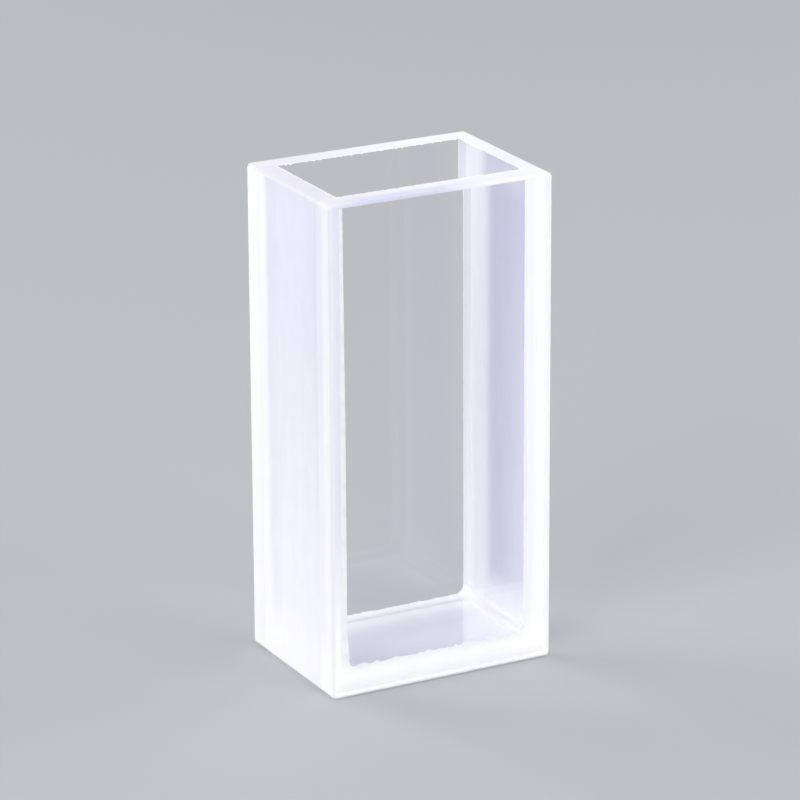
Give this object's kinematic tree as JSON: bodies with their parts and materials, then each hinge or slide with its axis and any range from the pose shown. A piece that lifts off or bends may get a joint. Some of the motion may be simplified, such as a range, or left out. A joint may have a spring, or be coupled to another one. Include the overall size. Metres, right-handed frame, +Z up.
{
  "type": "cuvette",
  "caption": "Rectangular glass cuvette, open at the top, with a ground U-shaped frame between clear front and rear windows.",
  "frame": {"origin": "middle of the underside, on the surface that the cuvette stands on", "axes": "+X along the width, from one ground side to the other; +Y through the two clear windows, from front to rear; +Z up, out of the mouth"},
  "size_m": [0.0218, 0.0156, 0.045],
  "materials": {
    "ground_glass": "fine-ground, frosted white",
    "clear_glass": "polished and clear on its two faces, ground on its edges"
  },
  "bodies": {
    "root": {"u_frame": "ground_glass", "front_window": "clear_glass", "rear_window": "clear_glass"}
  },
  "joints": []
}
